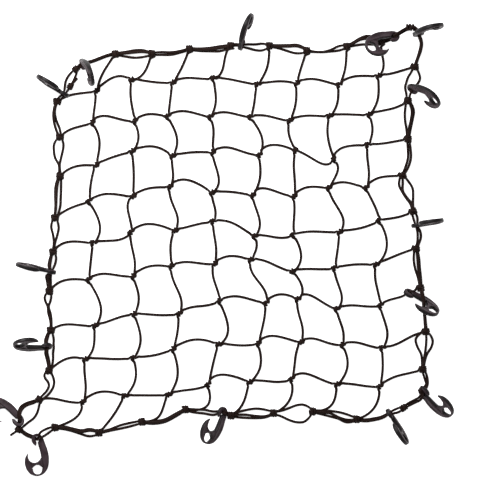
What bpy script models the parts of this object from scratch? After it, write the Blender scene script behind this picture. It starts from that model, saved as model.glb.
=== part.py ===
"""Elastic cargo net laid out on the floor.

Nine cords run across and eight run down, knotted where they cross. A pair of rail cords runs round
the edge, and fifteen moulded hooks hang on the rails by the eye in each hook's head.
Run with: blender --background --python part.py
"""

import math
from collections import namedtuple

import bmesh
import bpy
from mathutils import Matrix, Vector
from mathutils.geometry import interpolate_bezier

MM = 0.001  # every size below is in millimetres

# Cord
CORD = 4.0  # diameter
PINCHED = 2.5  # diameter where a hook's eye grips it
GAP = 0.35  # between pieces that touch
RING_STEP = 18.0  # the longest straight stretch of a cord
FLOOR = CORD / 2  # height of the centre of a cord that lies on the floor

# Knots
KNOT_WIDTH = 10.0
KNOT_THICK = 4.4
CROSSING_HALF = 5.0  # half length of a knot in the mesh
RAIL_HALF = 6.5  # half length of a knot that takes in both rails
CLIMB = 1.1  # length of a cord's climb to its knot, as a share of the height
CLEAR = 5.8  # from the middle of one cord to another's where both can lie on the floor
CHECKED = 3.0  # how near to a knot's middle a cord may still be moved aside to stand clear
UNDER_CAP = 8.0  # how far to either side of its middle a knot has to clear the rails
RAIL_SPACING = 5.0  # between the centres of the two rails at a knot
EYE_SPACING = 3.0  # and in a hook's eye

# Mesh: an even grid, and how far each knot was pulled off it
FIRST_KNOT = Vector((-211, 257))
STEP_RIGHT = Vector((66, 3))
STEP_DOWN = Vector((0, -63))
Drift = namedtuple("Drift", "right up")
DRIFTS = [
    Drift(right=(4, -5, -4, -4, 1, -2, 1, -1), up=(-7, 9, 1, 5, -8, -9, -15, -3)),
    Drift(right=(-3, 0, -13, -10, -11, -13, -14, -16), up=(5, 4, 9, 5, 2, -7, -2, -3)),
    Drift(right=(3, -4, -5, -6, 4, -3, -8, -18), up=(-1, 19, 8, 11, 3, 7, -10, 11)),
    Drift(right=(-8, -3, -9, -7, -7, -6, -16, -21), up=(3, 8, 21, 9, 1, -4, 7, 4)),
    Drift(right=(-1, -6, -1, -5, -4, -7, 2, 0), up=(-1, 13, 13, 25, -2, -3, -1, 14)),
    Drift(right=(-9, -3, -7, -3, -10, -9, -6, -5), up=(2, 5, 18, 19, 23, 1, 3, 6)),
    Drift(right=(2, -1, 6, 5, 15, 0, -3, 2), up=(-9, 7, 4, 22, 15, 19, 0, 2)),
    Drift(right=(-14, -2, -4, 4, 2, 5, 6, 5), up=(0, -1, 10, 15, 13, 12, 5, -3)),
    Drift(right=(-18, -16, -11, -13, -12, -10, -2, 1), up=(-7, 0, -1, 12, 14, 15, 4, -3)),
]

# Rails: stations clockwise round the net. outer and inner are how far each rail stands off the line
# to the next station halfway along, outwards positive. A strand number says which cord ends there.
Station = namedtuple("Station", "name kind right up outer inner")
PAIR = (2.4, -2.4)
SLIT = (3.2, -3.2)
RAILS = {
    "top": [
        Station("corner_tl", "corner", -240, 286, *PAIR),
        Station("tl_inside", "hook", -231, 294, *PAIR),
        Station("down_1", "knot", -176, 310, 6.5, -6.5),
        Station("down_2", "knot", -117, 310, *SLIT),
        Station("down_3", "knot", -56, 318, 2.4, -6),
        Station("down_4", "knot", 11, 323, *PAIR),
        Station("top", "hook", 28, 322, 4, -5.5),
        Station("down_5", "knot", 73, 323, 6, -6.5),
        Station("down_6", "knot", 134, 315, 3, -4),
        Station("down_7", "knot", 199, 322, 12, -2.4),
        Station("down_8", "knot", 256, 328, *PAIR),
        Station("tr_inside", "hook", 275, 339, *PAIR),
        Station("corner_tr", "corner", 300, 353, *PAIR),
    ],
    "right": [
        Station("corner_tr", "corner", 300, 353, *PAIR),
        Station("tr_outside", "hook", 312, 342, 11, 6),
        Station("across_1", "knot", 309, 289, 13, -9),
        Station("right_1", "loose_hook", 304, 257, 3, -5),
        Station("across_2", "knot", 298, 234, 9, -5.5),
        Station("across_3", "knot", 298, 172, 11, 5),
        Station("across_4", "knot", 289, 113, 9.5, -7),
        Station("across_5", "knot", 306, 55, *PAIR),
        Station("right_2", "hook", 311, 32, 7, -2.4),
        Station("across_6", "knot", 311, -5, 2.4, -5.7),
        Station("across_7", "knot", 318, -68, 0.4, -4.6),
        Station("across_8", "knot", 327, -140, 12, -14),
        Station("across_9", "knot", 322, -201, *PAIR),
        Station("corner_br", "corner", 330, -228, *PAIR),
    ],
    "bottom": [
        Station("corner_br", "corner", 330, -228, *PAIR),
        Station("br", "hook", 321, -236, *SLIT),
        Station("tie_bottom", "knot", 291, -263, 4, -4),
        Station("bottom_right", "hook", 269, -273, *PAIR),
        Station("down_8", "knot", 214, -282, 6, -4.5),
        Station("down_7", "knot", 143, -269, 17, -11.5),
        Station("down_6", "knot", 80, -272, 5.5, -7.5),
        Station("down_5", "knot", 11, -276, *PAIR),
        Station("bottom_middle", "hook", -3, -271, *SLIT),
        Station("down_4", "knot", -63, -266, *PAIR),
        Station("down_3", "knot", -133, -286, *SLIT),
        Station("down_2", "knot", -203, -304, 7, -2.4),
        Station("down_1", "knot", -273, -295, *SLIT),
        Station("bl_inside", "hook", -302, -313, *PAIR),
        Station("corner_bl", "corner", -333, -300, *PAIR),
    ],
    "left": [
        Station("corner_bl", "corner", -333, -300, *PAIR),
        Station("bl_outside", "loose_hook", -331, -286, 11, -13),
        Station("across_9", "knot", -300, -249, -6, -14),
        Station("across_8", "knot", -284, -204, 2.4, -6),
        Station("left_1", "loose_hook", -287, -163, 2.4, -8),
        Station("across_7", "knot", -281, -138, *PAIR),
        Station("left_twist", "twist", -285, -99, 6, -4.5),
        Station("across_6", "knot", -283, -75, *PAIR),
        Station("left_2", "hook", -282, -42, 2.7, -8),
        Station("across_5", "knot", -277, -11, 4, -9),
        Station("across_4", "knot", -274, 44, 4, -6),
        Station("across_3", "knot", -266, 112, *PAIR),
        Station("left_join", "twist", -267, 130, 9.5, -5),
        Station("across_2", "knot", -266, 175, 9, 1.8),
        Station("across_1", "knot", -270, 234, *PAIR),
        Station("tl_outside", "hook", -259, 245, 11, -4),
        Station("corner_tl", "corner", -240, 286, *PAIR),
    ],
}
RAIL_TRIM = 5.0  # how far short of a corner the rails stop, under the tie
INNER_ASIDE = 11.0  # how far the inner rail passes from a loose hook, which grips the outer one alone

# Strands: the headings, in degrees, at which a cord leaves each knot and comes to the next one
Bows = namedtuple("Bows", "leave arrive")
HANDLE = 0.42  # length of a bow's handles, as a share of the distance between the knots
ACROSS_BOWS = [
    Bows(leave=(5, 45, -5, 30, 0, 10, 30, 45, 5), arrive=(20, -25, 5, 10, -5, -10, -10, 5, 15)),
    Bows(leave=(45, 45, 45, 35, 35, 20, 40, 10, 30), arrive=(15, 0, -10, -10, -5, -5, 5, 5, 25)),
    Bows(leave=(45, 20, 25, 5, 40, 50, -5, 80, 5), arrive=(0, 20, -40, 0, -5, -30, 45, 5, 10)),
    Bows(leave=(35, 40, 40, 40, 5, 45, 55, 40, 45), arrive=(20, -5, 5, -30, -10, 10, -5, -15, -5)),
    Bows(leave=(50, 10, 40, 15, 10, 15, 25, 10, 5), arrive=(0, 45, -20, 10, -30, 20, 5, 30, 25)),
    Bows(leave=(50, 40, 45, 30, 45, 5, 20, 15, 30), arrive=(-10, 5, -5, 0, -15, -10, 10, 0, 15)),
    Bows(
        leave=(40, 15, 0, 35, 30, 50, 40, 35, 40, 35),
        arrive=(5, 10, 10, 25, -10, -25, -10, 5, 25, 25),
    ),
    Bows(leave=(40, 5, 5, 40, 0, 45, 30, 25, 5), arrive=(-15, 10, 25, -20, 15, -10, 0, 0, 10)),
    Bows(leave=(10, 40, 0, 10, 60, 20, 50, 10, 45), arrive=(5, -20, 5, 15, -20, 10, -10, 0, 10)),
]
DOWN_BOWS = [
    Bows(
        leave=(-125, -95, -55, -110, -65, -100, -60, -90, -100, -90),
        arrive=(-105, -100, -105, -90, -130, -100, -130, -145, -100, -160),
    ),
    Bows(
        leave=(-95, -100, -60, -85, -135, -90, -65, -70, -65, -120),
        arrive=(-170, -85, -135, -95, -95, -105, -115, -130, -130, -130),
    ),
    Bows(
        leave=(-110, -90, -60, -90, -90, -115, -85, -90, -65, -115),
        arrive=(-125, -110, -125, -120, -115, -90, -100, -110, -125, -180),
    ),
    Bows(
        leave=(-110, -85, -65, -80, -75, -90, -105, -70, -105, -80),
        arrive=(-140, -120, -90, -150, -115, -100, -80, -140, -105, -180),
    ),
    Bows(
        leave=(-90, -100, -60, -80, -80, -65, -90, -95, -85, -100),
        arrive=(-130, -115, -105, -125, -130, -125, -90, -105, -130, -150),
    ),
    Bows(
        leave=(-110, -90, -100, -105, -80, -65, -40, -100, -120, -80),
        arrive=(-100, -110, -65, -95, -80, -145, -130, -105, -95, -160),
    ),
    Bows(
        leave=(-95, -95, -105, -45, -80, -95, -90, -75, -70, -90),
        arrive=(-115, -130, -75, -120, -115, -100, -135, -100, -125, -180),
    ),
    Bows(
        leave=(-80, -90, -65, -105, -60, -65, -95, -80, -80, -100),
        arrive=(-130, -130, -110, -105, -80, -130, -85, -130, -105, -155),
    ),
]

# Ties: knots that close the rails at the corners, some with a cut end of cord left standing out
Tie = namedtuple("Tie", "name right up heading half tail_heading tail", defaults=(0, 0))
TIE_REACH = 4.0  # how far past its ends a tie has to clear the rails
TAIL_NECK = 3.0  # from a tie's end to where its cut end has thinned to the plain cord
TIES = [
    Tie("corner_tl", right=-240, up=287, heading=40, half=4.5),
    Tie("inner_tl", right=-249, up=258, heading=60, half=4, tail_heading=48, tail=12),
    Tie("corner_tr", right=300, up=354, heading=-10, half=9),
    Tie("corner_br", right=331, up=-223, heading=-80, half=4),
    Tie("bottom_right", right=291, up=-263, heading=28, half=5),
    Tie("corner_bl", right=-334, up=-301.5, heading=-140, half=5, tail_heading=-141, tail=12),
]

# Hooks: pitch lifts the crown and roll lifts the beak, in degrees. beak is 1 where the beak stands to
# the right of the heading.
Hook = namedtuple("Hook", "name heading pitch roll beak")
HOOKS = [
    Hook("tl_outside", heading=145, pitch=33, roll=84, beak=1),
    Hook("tl_inside", heading=-62, pitch=50, roll=-82, beak=1),
    Hook("top", heading=73, pitch=27, roll=73, beak=1),
    Hook("tr_inside", heading=-156, pitch=33, roll=27, beak=-1),
    Hook("tr_outside", heading=23, pitch=44, roll=82, beak=1),
    Hook("right_1", heading=-29, pitch=28, roll=-56, beak=1),
    Hook("right_2", heading=13, pitch=42, roll=84, beak=-1),
    Hook("right_3", heading=-37, pitch=16, roll=57, beak=1),
    Hook("br", heading=-34, pitch=12, roll=28, beak=-1),
    Hook("bottom_right", heading=-59, pitch=20, roll=84, beak=1),
    Hook("bottom_middle", heading=-124, pitch=16, roll=43, beak=1),
    Hook("bl_inside", heading=-90, pitch=-4, roll=12, beak=1),
    Hook("bl_outside", heading=143, pitch=-5, roll=14, beak=-1),
    Hook("left_1", heading=174, pitch=28, roll=63, beak=1),
    Hook("left_2", heading=167, pitch=18, roll=84, beak=-1),
]
HOOK_ON_STRAND = Vector((299, -77))  # right_3 hangs on the end of the seventh cord across

# A climb is given by steps along the cord: the distance from its middle, the height and the thickness
Step = namedtuple("Step", "ahead height thick")
SHANK_CROSSING = Vector((322, -86))  # the right rails ride over right_3's shank, then under its beak
SHANK_ROOM = 9.0  # how far from the crossing a rail may pass and still ride over
SHANK_STEPS = [
    Step(-26, FLOOR, CORD),
    Step(-9, 18.5, CORD),
    Step(7, 18.5, CORD),
    Step(17, 14.5, CORD),
    Step(30, FLOOR, CORD),
]

# Hook, in its own frame: the eye at the origin, the shank up +Y and the beak at +X
HEAD_RADIUS = 7.6
EYE_RADIUS = 5.8
BACK = (Vector((-14.0, 13.2)), Vector((-17.8, 23.5)))
CROWN_CENTRE = Vector((0.9, 38.6))
CROWN_RADII = Vector((19.8, 22.8))
THROAT_CENTRE = Vector((4.8, 29.0))
THROAT_RADIUS = 10.5
BEAK = (Vector((19.4, 31.0)), Vector((14.9, 24.6)))
SHANK_FRONT = Vector((-4.6, 20.0))
HOLE_CENTRE = Vector((-0.3, 50.2))
HOLE_RADIUS = 7.3
THICK_ENDS = 5.2  # thickness at the head and at the crown
THICK_MIDDLE = 9.6
HOOK_MIDDLE = 32.0  # distance from the eye to the thickest place

# Cords through an eye
LYING = 0.7  # a hook lies where its eye's axis stands steeper than this
EYE_REACH = 14.0  # how far from a standing hook's eye the rails start to climb to it
EYE_RETURN = 18.0  # and how far past it they are down again
STEEPEST = 0.8  # slope of a cord through a standing hook's eye
BESIDE_EYE = 12.0  # how far from an eye the rails stand side by side again
HEAD_CLEAR = 3.0  # between a lying hook's head and a cord that rises or falls beside it
EYE_ENTRY = 1.5  # how far from a lying hook's middle the rails come up through its eye
SHANK_SWELL = 1.3  # how much higher its shank stands than its head where a cord comes off it

SPAN_POINTS = 25  # in the fine chain that draws a strand between two knots
RAIL_POINTS = 12  # and in one between two points of a rail

Ring = namedtuple("Ring", "centre width height")
Climb = namedtuple("Climb", "centre steps loose room")
Stop = namedtuple("Stop", "half height under")  # a knot: under holds the routes it rides over


def material(name, colour, roughness):
    made = bpy.data.materials.new(name)
    made.use_nodes = True
    shader = made.node_tree.nodes["Principled BSDF"]
    shader.inputs["Base Color"].default_value = (*colour, 1)
    shader.inputs["Roughness"].default_value = roughness
    made.diffuse_color = (*colour, 1)
    return made


def heading_vector(degrees):
    return Vector((math.cos(math.radians(degrees)), math.sin(math.radians(degrees))))


def add_mesh(name, mesh, look):
    mesh.materials.append(look)
    mesh.set_sharp_from_angle(angle=math.radians(40))
    bpy.context.scene.collection.objects.link(bpy.data.objects.new(name, mesh))


# Cords


def cord(name, rings, look):
    """A closed tube through the rings, each square to the cord's own direction."""
    corners = ((-1, -1), (1, -1), (1, 1), (-1, 1))
    points = []
    for i, ring in enumerate(rings):
        ahead = rings[min(i + 1, len(rings) - 1)].centre
        behind = rings[max(i - 1, 0)].centre
        along = (ahead - behind).normalized()
        aside = Vector((-along.y, along.x, 0)).normalized()
        upward = along.cross(aside)
        for across, up in corners:
            shift = aside * across * ring.width / 2 + upward * up * ring.height / 2
            points.append((ring.centre + shift) * MM)
    faces = [(0, 1, 2, 3), tuple(len(points) - 4 + k for k in (3, 2, 1, 0))]
    for i in range(len(rings) - 1):
        for k in range(4):
            first, second = 4 * i + k, 4 * i + (k + 1) % 4
            faces.append((first, first + 4, second + 4, second))
    mesh = bpy.data.meshes.new(name)
    mesh.from_pydata(points, [], faces)
    cleaned = bmesh.new()
    cleaned.from_mesh(mesh)
    bmesh.ops.recalc_face_normals(cleaned, faces=cleaned.faces)
    cleaned.to_mesh(mesh)
    cleaned.free()
    add_mesh(name, mesh, look)


class Route:
    """A plan curve as a fine chain of points, read by the distance along it."""

    def __init__(self, points):
        self.points = points
        self.marks = [0.0]
        for before, after in zip(points, points[1:]):
            self.marks.append(self.marks[-1] + (after - before).length)
        self.length = self.marks[-1]

    def at(self, distance):
        """The place this far along. Past either end it carries straight on."""
        i = 1
        while i < len(self.points) - 1 and self.marks[i] < distance:
            i += 1
        before, after = self.points[i - 1], self.points[i]
        share = (distance - self.marks[i - 1]) / (self.marks[i] - self.marks[i - 1])
        return before.lerp(after, share)

    def nearest(self, place):
        return min(zip(self.points, self.marks), key=lambda found: (found[0] - place).length)[1]


def bowed(start, end, leave, arrive):
    """The curve of a strand between two knots."""
    handle = (end - start).length * HANDLE
    first = start + heading_vector(leave) * handle
    second = end - heading_vector(arrive) * handle
    curve = interpolate_bezier(start.to_3d(), first.to_3d(), second.to_3d(), end.to_3d(), SPAN_POINTS)
    return Route([point.to_2d() for point in curve])


def through(points, corners):
    """A curve through the points, smooth but for the corners, where it leaves at its own angle."""
    slopes = []
    for i in range(len(points)):
        before, after = points[max(i - 1, 0)], points[min(i + 1, len(points) - 1)]
        slopes.append((after - before).normalized())
    ends = {0, len(points) - 1, *corners}
    chain = []
    for i in range(len(points) - 1):
        start, end = points[i], points[i + 1]
        chord = (end - start).normalized()
        leave, arrive = slopes[i], slopes[i + 1]
        if i in ends:
            leave = chord if i + 1 in ends else mirrored(arrive, chord)
        if i + 1 in ends:
            arrive = chord if i in ends else mirrored(leave, chord)
        handle = (end - start).length / 3
        first, second = start + leave * handle, end - arrive * handle
        ends_3d = [point.to_3d() for point in (start, first, second, end)]
        curve = interpolate_bezier(*ends_3d, RAIL_POINTS)
        chain += [point.to_2d() for point in curve[: -1 if i < len(points) - 2 else None]]
    return Route(chain)


def mirrored(slope, chord):
    """The slope at the other end of a round arc over this chord."""
    return chord * 2 * slope.dot(chord) - slope


# Hooks


def arc(centre, radii, start, end, steps):
    """Points along an ellipse's arc, both ends included."""
    angles = [math.radians(start + (end - start) * i / steps) for i in range(steps + 1)]
    return [centre + Vector((radii[0] * math.cos(a), radii[1] * math.sin(a))) for a in angles]


def hook_outline():
    head = arc(Vector((0, 0)), (HEAD_RADIUS, HEAD_RADIUS), 92, -160, 6)
    crown = arc(CROWN_CENTRE, CROWN_RADII, 188, 0, 6)
    throat = arc(THROAT_CENTRE, (THROAT_RADIUS, THROAT_RADIUS), 10, 170, 5)
    return [*head, *BACK, *crown, *BEAK, *throat, SHANK_FRONT]


def hook_mesh():
    """The outline with its eye and its lightening hole, given a thickness that swells mid-way."""
    eye = arc(Vector((0, 0)), (EYE_RADIUS, EYE_RADIUS), 0, 315, 7)
    hole = arc(HOLE_CENTRE, (HOLE_RADIUS, HOLE_RADIUS), 22.5, 337.5, 7)
    shape = bmesh.new()
    for loop in (hook_outline(), eye, hole):
        made = [shape.verts.new(point.to_3d()) for point in loop]
        for i, vert in enumerate(made):
            shape.edges.new((vert, made[i - 1]))
    bmesh.ops.triangle_fill(shape, use_beauty=True, edges=shape.edges[:])
    lower = shape.verts[:]
    made = bmesh.ops.extrude_face_region(shape, geom=shape.faces[:])
    upper = [item for item in made["geom"] if isinstance(item, bmesh.types.BMVert)]
    for verts, side in ((lower, -1), (upper, 1)):
        for vert in verts:
            away = (vert.co.y - HOOK_MIDDLE) / HOOK_MIDDLE
            thick = THICK_ENDS + (THICK_MIDDLE - THICK_ENDS) * max(0, 1 - away * away)
            vert.co.z = side * thick / 2
    bmesh.ops.recalc_face_normals(shape, faces=shape.faces[:])
    bmesh.ops.scale(shape, vec=(MM, MM, MM), verts=shape.verts[:])
    mesh = bpy.data.meshes.new("hook")
    shape.to_mesh(mesh)
    shape.free()
    return mesh


def hook_turn(hook):
    """The rotation that points a hook's shank, lifts its crown and rolls it on its shank."""
    forward = heading_vector(hook.heading).to_3d()
    aside = Vector((forward.y, -forward.x, 0)) * hook.beak
    upward = Vector((0, 0, 1))
    pitch, roll = math.radians(hook.pitch), math.radians(hook.roll)
    shank = forward * math.cos(pitch) + upward * math.sin(pitch)
    above = upward * math.cos(pitch) - forward * math.sin(pitch)
    beak = aside * math.cos(roll) + above * math.sin(roll)
    return Matrix((beak, shank, beak.cross(shank))).transposed()


def hook_place(hook, mesh, plan):
    """The world matrix of a hook whose eye is over the plan point and whose lowest edge is down."""
    turn = hook_turn(hook)
    lowest = min((turn @ vert.co).z for vert in mesh.vertices) / MM
    eye = Vector((plan.x, plan.y, -lowest))
    return Matrix.Translation(eye * MM) @ turn.to_4x4()


def eye_climb(matrix, along, loose=False):
    """How a cord comes off the floor, goes through a hook's eye and comes down again."""
    axis = matrix.to_3x3().col[2].normalized()
    axis = axis if axis.z > 0 else -axis
    eye = matrix.translation / MM
    lean = axis.to_2d().dot(along)
    if axis.z > LYING:
        fall = abs(lean) / axis.z
        aside = abs(axis.to_2d().cross(along)) / axis.z * RAIL_SPACING
        under = (THICK_ENDS / 2 + PINCHED / 2 + GAP) / axis.z + aside / 2
        over = (THICK_ENDS / 2 + CORD / 2 + GAP) / axis.z + aside + SHANK_SWELL
        edge = HEAD_RADIUS + HEAD_CLEAR
        steps = [
            Step(-edge, FLOOR, CORD),
            Step(-EYE_ENTRY, max(eye.z + EYE_ENTRY * fall - under, FLOOR), PINCHED),
            Step(EYE_ENTRY, eye.z - EYE_ENTRY * fall + under, PINCHED),
            Step(edge + HEAD_CLEAR, max(eye.z - edge * fall + over, FLOOR), CORD),
            Step(edge + HEAD_CLEAR + eye.z, FLOOR, CORD),
        ]
    else:
        slope = min(axis.z / axis.to_2d().length, 1) * STEEPEST
        inside = THICK_ENDS / 2 + PINCHED
        steps = [
            Step(-EYE_REACH, FLOOR, CORD),
            Step(-inside, max(eye.z - inside * slope, PINCHED / 2), PINCHED),
            Step(0, eye.z, PINCHED),
            Step(inside, eye.z + inside * slope, PINCHED),
            Step(EYE_RETURN, FLOOR, CORD),
        ]
    if lean < 0:
        steps = [Step(-step.ahead, step.height, step.thick) for step in reversed(steps)]
    return Climb(eye.to_2d(), steps, loose, EYE_SPACING)


# Rails


def outward(before, after):
    """Square to the way round the net, pointing away from it."""
    along = (after - before).normalized()
    return Vector((-along.y, along.x))


def station_place(station):
    return Vector((station.right, station.up))


def rail_route(stations, rail):
    """The plan curve of the outer or the inner rail along one side."""
    sign = 1 if rail == "outer" else -1
    points, corners = [], []
    places = [station_place(station) for station in stations]
    for i, station in enumerate(stations):
        away = outward(places[max(i - 1, 0)], places[min(i + 1, len(places) - 1)])
        offset = sign * RAIL_SPACING / 2
        is_hook = station.kind == "hook"
        if is_hook:
            offset = sign * EYE_SPACING / 2
            points += beside_eye(places[i - 1], places[i], -1, sign)
        elif station.kind == "loose_hook":
            offset = 0 if rail == "outer" else -INNER_ASIDE
        elif station.kind == "knot":
            corners.append(len(points))
        points.append(places[i] + away * offset)
        if i + 1 < len(stations):
            if is_hook:
                points += beside_eye(places[i], places[i + 1], 1, sign)
            middle = (places[i] + places[i + 1]) / 2
            offset = station.outer if rail == "outer" else station.inner
            points.append(middle + outward(places[i], places[i + 1]) * offset)
    return through(points, corners)


def beside_eye(before, after, way, sign):
    """The point at which the rails stand side by side again, if the next station leaves room."""
    if (after - before).length < 2 * BESIDE_EYE:
        return []
    along = (after - before).normalized() * BESIDE_EYE
    start = before + along if way > 0 else after - along
    return [start + outward(before, after) * sign * RAIL_SPACING / 2]


def lifted(route, climbs):
    """The climbs that a route meets, each with the distance along the route at its middle."""
    met = []
    for climb in climbs:
        middle = route.nearest(climb.centre)
        if (route.at(middle) - climb.centre).length < climb.room:
            met.append((middle, climb.steps))
    return met


def lift_at(mark, met):
    """The height and the thickness of a cord at a distance along its route."""
    height, thick = FLOOR, CORD
    for middle, steps in met:
        for before, after in zip(steps, steps[1:]):
            share = (mark - middle - before.ahead) / (after.ahead - before.ahead)
            if 0 <= share <= 1:
                lift = before.height + (after.height - before.height) * share
                if abs(lift - FLOOR) >= abs(height - FLOOR):
                    height = lift
                    thick = before.thick + (after.thick - before.thick) * share
    return height, thick


def flat_ring(place, height, width=CORD, thick=CORD):
    return Ring(Vector((place.x, place.y, height)), width, thick)


def spaced(marks, start, end):
    """The marks between start and end, both included, with more put in where they stand far apart."""
    inside = sorted({start, end, *(mark for mark in marks if start + 1 < mark < end - 1)})
    made = []
    for before, after in zip(inside, inside[1:]):
        steps = max(1, math.ceil((after - before) / RING_STEP - 0.2))
        made += [before + (after - before) * i / steps for i in range(steps)]
    return [*made, end]


def climbing(route, met, start, end):
    """Rings along a route, with one at every turn of its climbs."""
    turns = [middle + step.ahead for middle, steps in met for step in steps]
    rings = []
    for mark in spaced(turns, start, end):
        height, thick = lift_at(mark, met)
        rings.append(flat_ring(route.at(mark), height, thick, thick))
    return rings


# Strands


def knot_grid():
    grid = []
    for row, drift in enumerate(DRIFTS):
        line = FIRST_KNOT + STEP_DOWN * row
        grid.append(
            [line + STEP_RIGHT * i + Vector(pull) for i, pull in enumerate(zip(*drift))]
        )
    return grid


def gap_to(others, place):
    return min((point - place).length for route in others for point in route.points)


def clear_mark(route, others, mark, step):
    """The first distance along the route, from mark on, at which it stands clear of the others."""
    inside = CHECKED < mark < route.length - CHECKED
    while inside and gap_to(others, route.at(mark)) < CLEAR:
        mark += step
        inside = CHECKED < mark < route.length - CHECKED
    return mark


def cap_height(place, rails, reach=UNDER_CAP):
    """The height of a knot's middle over the rails, which may be climbing to an eye nearby."""
    top = FLOOR
    for route, met in rails:
        middle = route.nearest(place)
        if (route.at(middle) - place).length < UNDER_CAP:
            tries = [middle + reach * share for share in (-1, -0.5, 0, 0.5, 1)]
            top = max(top, *(lift_at(mark, met)[0] for mark in tries))
    return top + CORD / 2 + GAP + KNOT_THICK / 2


def strand(routes, stops, climbs):
    """The rings of one cord along its routes. A stop of None is a crossing where it stays down."""
    rings = []
    first, last = stops[0], stops[-1]
    rings.append(flat_ring(routes[0].at(-first.half), first.height, KNOT_WIDTH, KNOT_THICK))
    for route, start, stop in zip(routes, stops, stops[1:]):
        begin, end, leaving, coming = 0, route.length, [], []
        if start:
            leaving.append(flat_ring(route.at(start.half), start.height, KNOT_WIDTH, KNOT_THICK))
            begin = clear_mark(route, start.under, start.half, 1)
            if begin > start.half + 1:
                leaving.append(flat_ring(route.at(begin), start.height))
            begin += (start.height - FLOOR) * CLIMB
        if stop:
            near = route.length - stop.half
            coming.append(flat_ring(route.at(near), stop.height, KNOT_WIDTH, KNOT_THICK))
            end = clear_mark(route, stop.under, near, -1)
            if end < near - 1:
                coming.insert(0, flat_ring(route.at(end), stop.height))
            end = max(end - (stop.height - FLOOR) * CLIMB, begin + THICK_ENDS)
        inside = climbing(route, lifted(route, climbs), begin, end)
        rings += [*leaving, *(inside if stop else inside[:-1]), *coming]
    rings.append(
        flat_ring(routes[-1].at(routes[-1].length + last.half), last.height, KNOT_WIDTH, KNOT_THICK)
    )
    return rings


def span_routes(stops, bows):
    return [
        bowed(start, end, leave, arrive)
        for start, end, leave, arrive in zip(stops, stops[1:], bows.leave, bows.arrive)
    ]


def rail_end(side, name):
    """The rail knot at which a strand of this name ends."""
    return next(station_place(station) for station in RAILS[side] if station.name == name)


def tie_rings(tie, rails):
    """A lump over the rails' ends, with the cut end of cord if the tie has one."""
    place = Vector((tie.right, tie.up))
    along = heading_vector(tie.heading) * tie.half
    height = cap_height(place, rails, tie.half + TIE_REACH)
    rings = [
        flat_ring(place + along * share, height, KNOT_WIDTH, KNOT_THICK) for share in (-1, 0, 1)
    ]
    if tie.tail:
        ahead = heading_vector(tie.tail_heading)
        start = place + along
        rings.append(flat_ring(start + ahead * TAIL_NECK, height))
        rings.append(flat_ring(start + ahead * tie.tail, height))
    return rings


def centre_all():
    """Moves every piece alike, so that the net's box stands centred on the origin."""
    pieces = bpy.context.scene.collection.objects[:]
    bpy.context.view_layer.update()
    corners = [piece.matrix_world @ vert.co for piece in pieces for vert in piece.data.vertices]
    middle = [
        (min(corner[i] for corner in corners) + max(corner[i] for corner in corners)) / 2
        for i in (0, 1)
    ]
    shift = Matrix.Translation((-middle[0], -middle[1], 0))
    for piece in pieces:
        piece.matrix_world = shift @ piece.matrix_world


def main():
    for old in list(bpy.data.objects):
        bpy.data.objects.remove(old, do_unlink=True)
    cord_look = material("black_brown_cord", (0.02, 0.013, 0.011), 0.75)
    hook_look = material("dark_grey_plastic", (0.048, 0.043, 0.055), 0.42)

    template = hook_mesh()
    template.materials.append(hook_look)
    turns = {}
    for number, hook in enumerate(HOOKS, 1):
        plan = next(
            (
                station_place(station)
                for stations in RAILS.values()
                for station in stations
                if station.name == hook.name
            ),
            HOOK_ON_STRAND,
        )
        turns[hook.name] = hook_place(hook, template, plan)
        made = bpy.data.objects.new(f"hook_{number:02d}_{hook.name}", template)
        made.matrix_world = turns[hook.name]
        bpy.context.scene.collection.objects.link(made)

    rails = []
    for side, stations in RAILS.items():
        climbs = []
        if side == "right":
            climbs.append(Climb(SHANK_CROSSING, SHANK_STEPS, False, SHANK_ROOM))
        for before, station, after in zip(stations, stations[1:], stations[2:]):
            if station.name in turns:
                along = (station_place(after) - station_place(before)).normalized()
                loose = station.kind == "loose_hook"
                climbs.append(eye_climb(turns[station.name], along, loose))
        for rail in ("outer", "inner"):
            route = rail_route(stations, rail)
            mine = [climb for climb in climbs if rail == "outer" or not climb.loose]
            met = lifted(route, mine)
            rails.append((route, met))
            rings = climbing(route, met, RAIL_TRIM, route.length - RAIL_TRIM)
            cord(f"rail_{side}_{rail}", rings, cord_look)
    rail_routes = [route for route, _ in rails]
    for tie in TIES:
        cord(f"tie_{tie.name}", tie_rings(tie, rails), cord_look)

    grid = knot_grid()
    down = []
    for column, bows in enumerate(DOWN_BOWS):
        name = f"down_{column + 1}"
        ends = [rail_end(side, name) for side in ("top", "bottom")]
        places = [ends[0], *(line[column] for line in grid), ends[1]]
        routes = span_routes(places, bows)
        down.append(routes)
        caps = [Stop(RAIL_HALF, cap_height(end, rails), rail_routes) for end in ends]
        cord(name, strand(routes, [caps[0], *[None] * len(grid), caps[1]], []), cord_look)
    over_down = CORD + GAP + KNOT_THICK / 2
    for row, (line, bows) in enumerate(zip(grid, ACROSS_BOWS)):
        name = f"across_{row + 1}"
        ends = [rail_end(side, name) for side in ("left", "right")]
        places = [ends[0], *line, ends[1]]
        stops = [Stop(RAIL_HALF, cap_height(ends[0], rails), rail_routes)]
        stops += [Stop(CROSSING_HALF, over_down, down[i][row : row + 2]) for i in range(len(line))]
        stops.append(Stop(RAIL_HALF, cap_height(ends[1], rails), rail_routes))
        climbs = []
        if len(bows.leave) > len(places) - 1:
            places.insert(-1, HOOK_ON_STRAND)
            stops.insert(-1, None)
            climbs.append(eye_climb(turns["right_3"], heading_vector(bows.arrive[-2])))
        cord(name, strand(span_routes(places, bows), stops, climbs), cord_look)
    centre_all()


main()
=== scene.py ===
from typing import NamedTuple

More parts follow.
